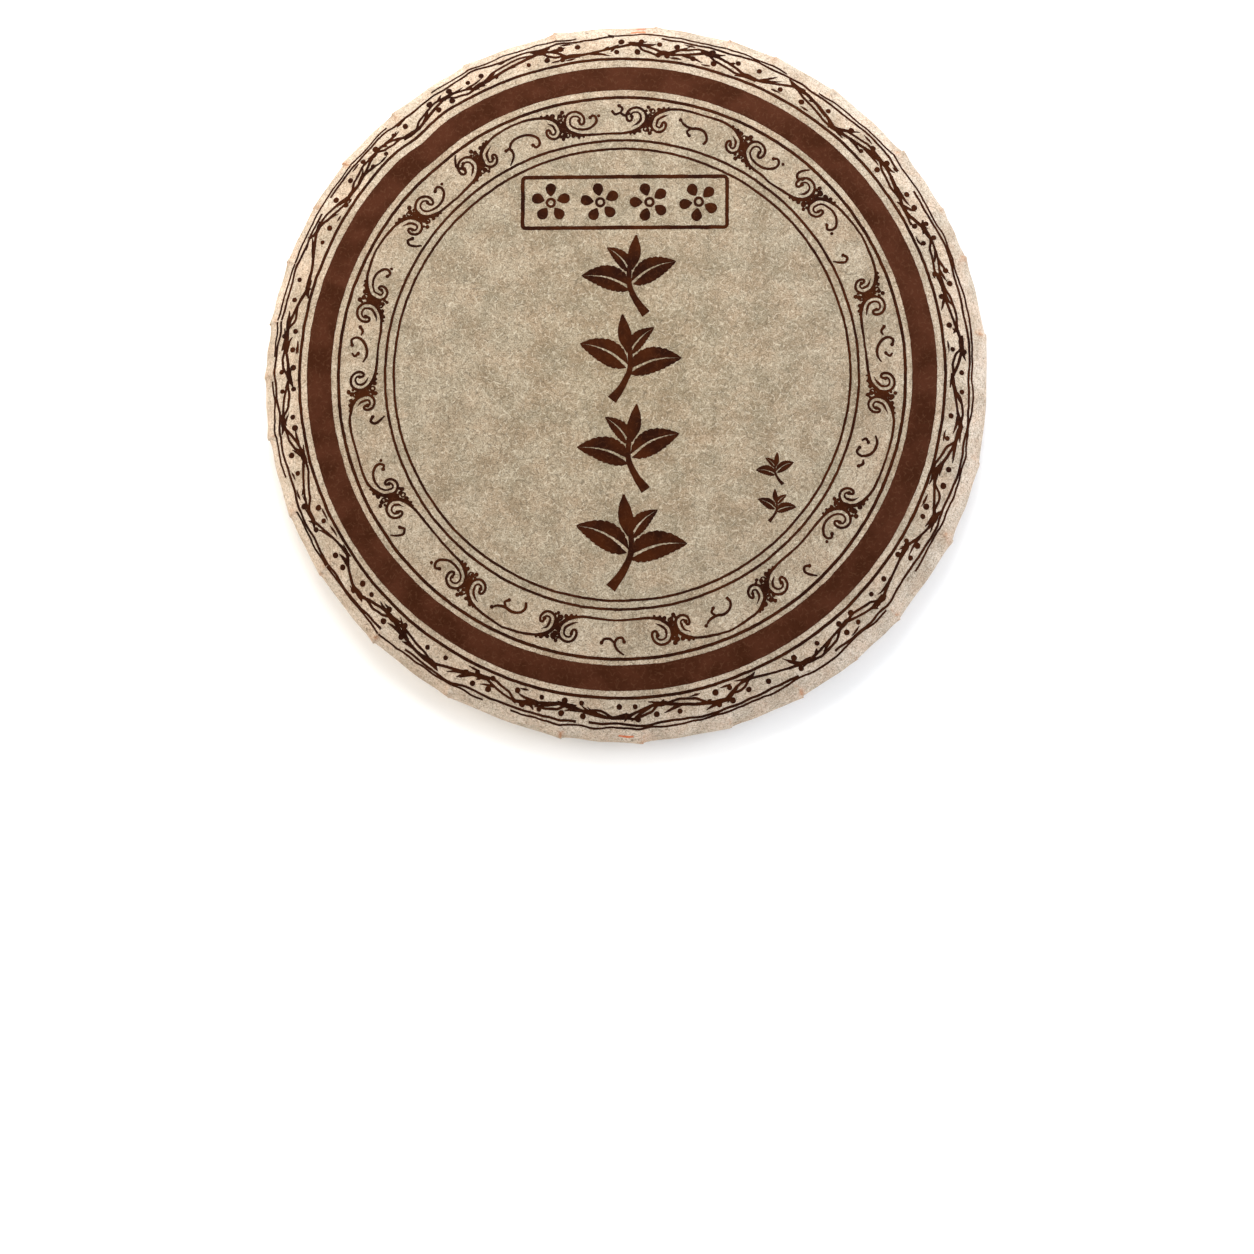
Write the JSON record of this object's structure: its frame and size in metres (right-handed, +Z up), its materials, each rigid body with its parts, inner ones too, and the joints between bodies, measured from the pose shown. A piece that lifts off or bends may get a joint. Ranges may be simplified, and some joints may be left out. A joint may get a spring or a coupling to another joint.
{
  "type": "wrapped pu-erh tea cake",
  "caption": "Round pressed tea cake in folded cotton paper with a ring-bordered printed face and a pleated back; a pack of dry tea to lay down, stack or stand on a rack.",
  "frame": {"origin": "middle of the resting face, under the middle of the cake", "axes": "+Z up out of the printed face, +Y towards the top of the printed face, +X to its right"},
  "size_m": [0.21, 0.2102, 0.027],
  "materials": {
    "cotton_paper": "matte, soft fibrous paper, lighter at the rim and greyer over the tea",
    "print_ink": "dark brown printing ink with a slight sheen, a little uneven"
  },
  "bodies": {
    "root": {"wrapped_tea_cake": "cotton_paper"}
  },
  "joints": []
}
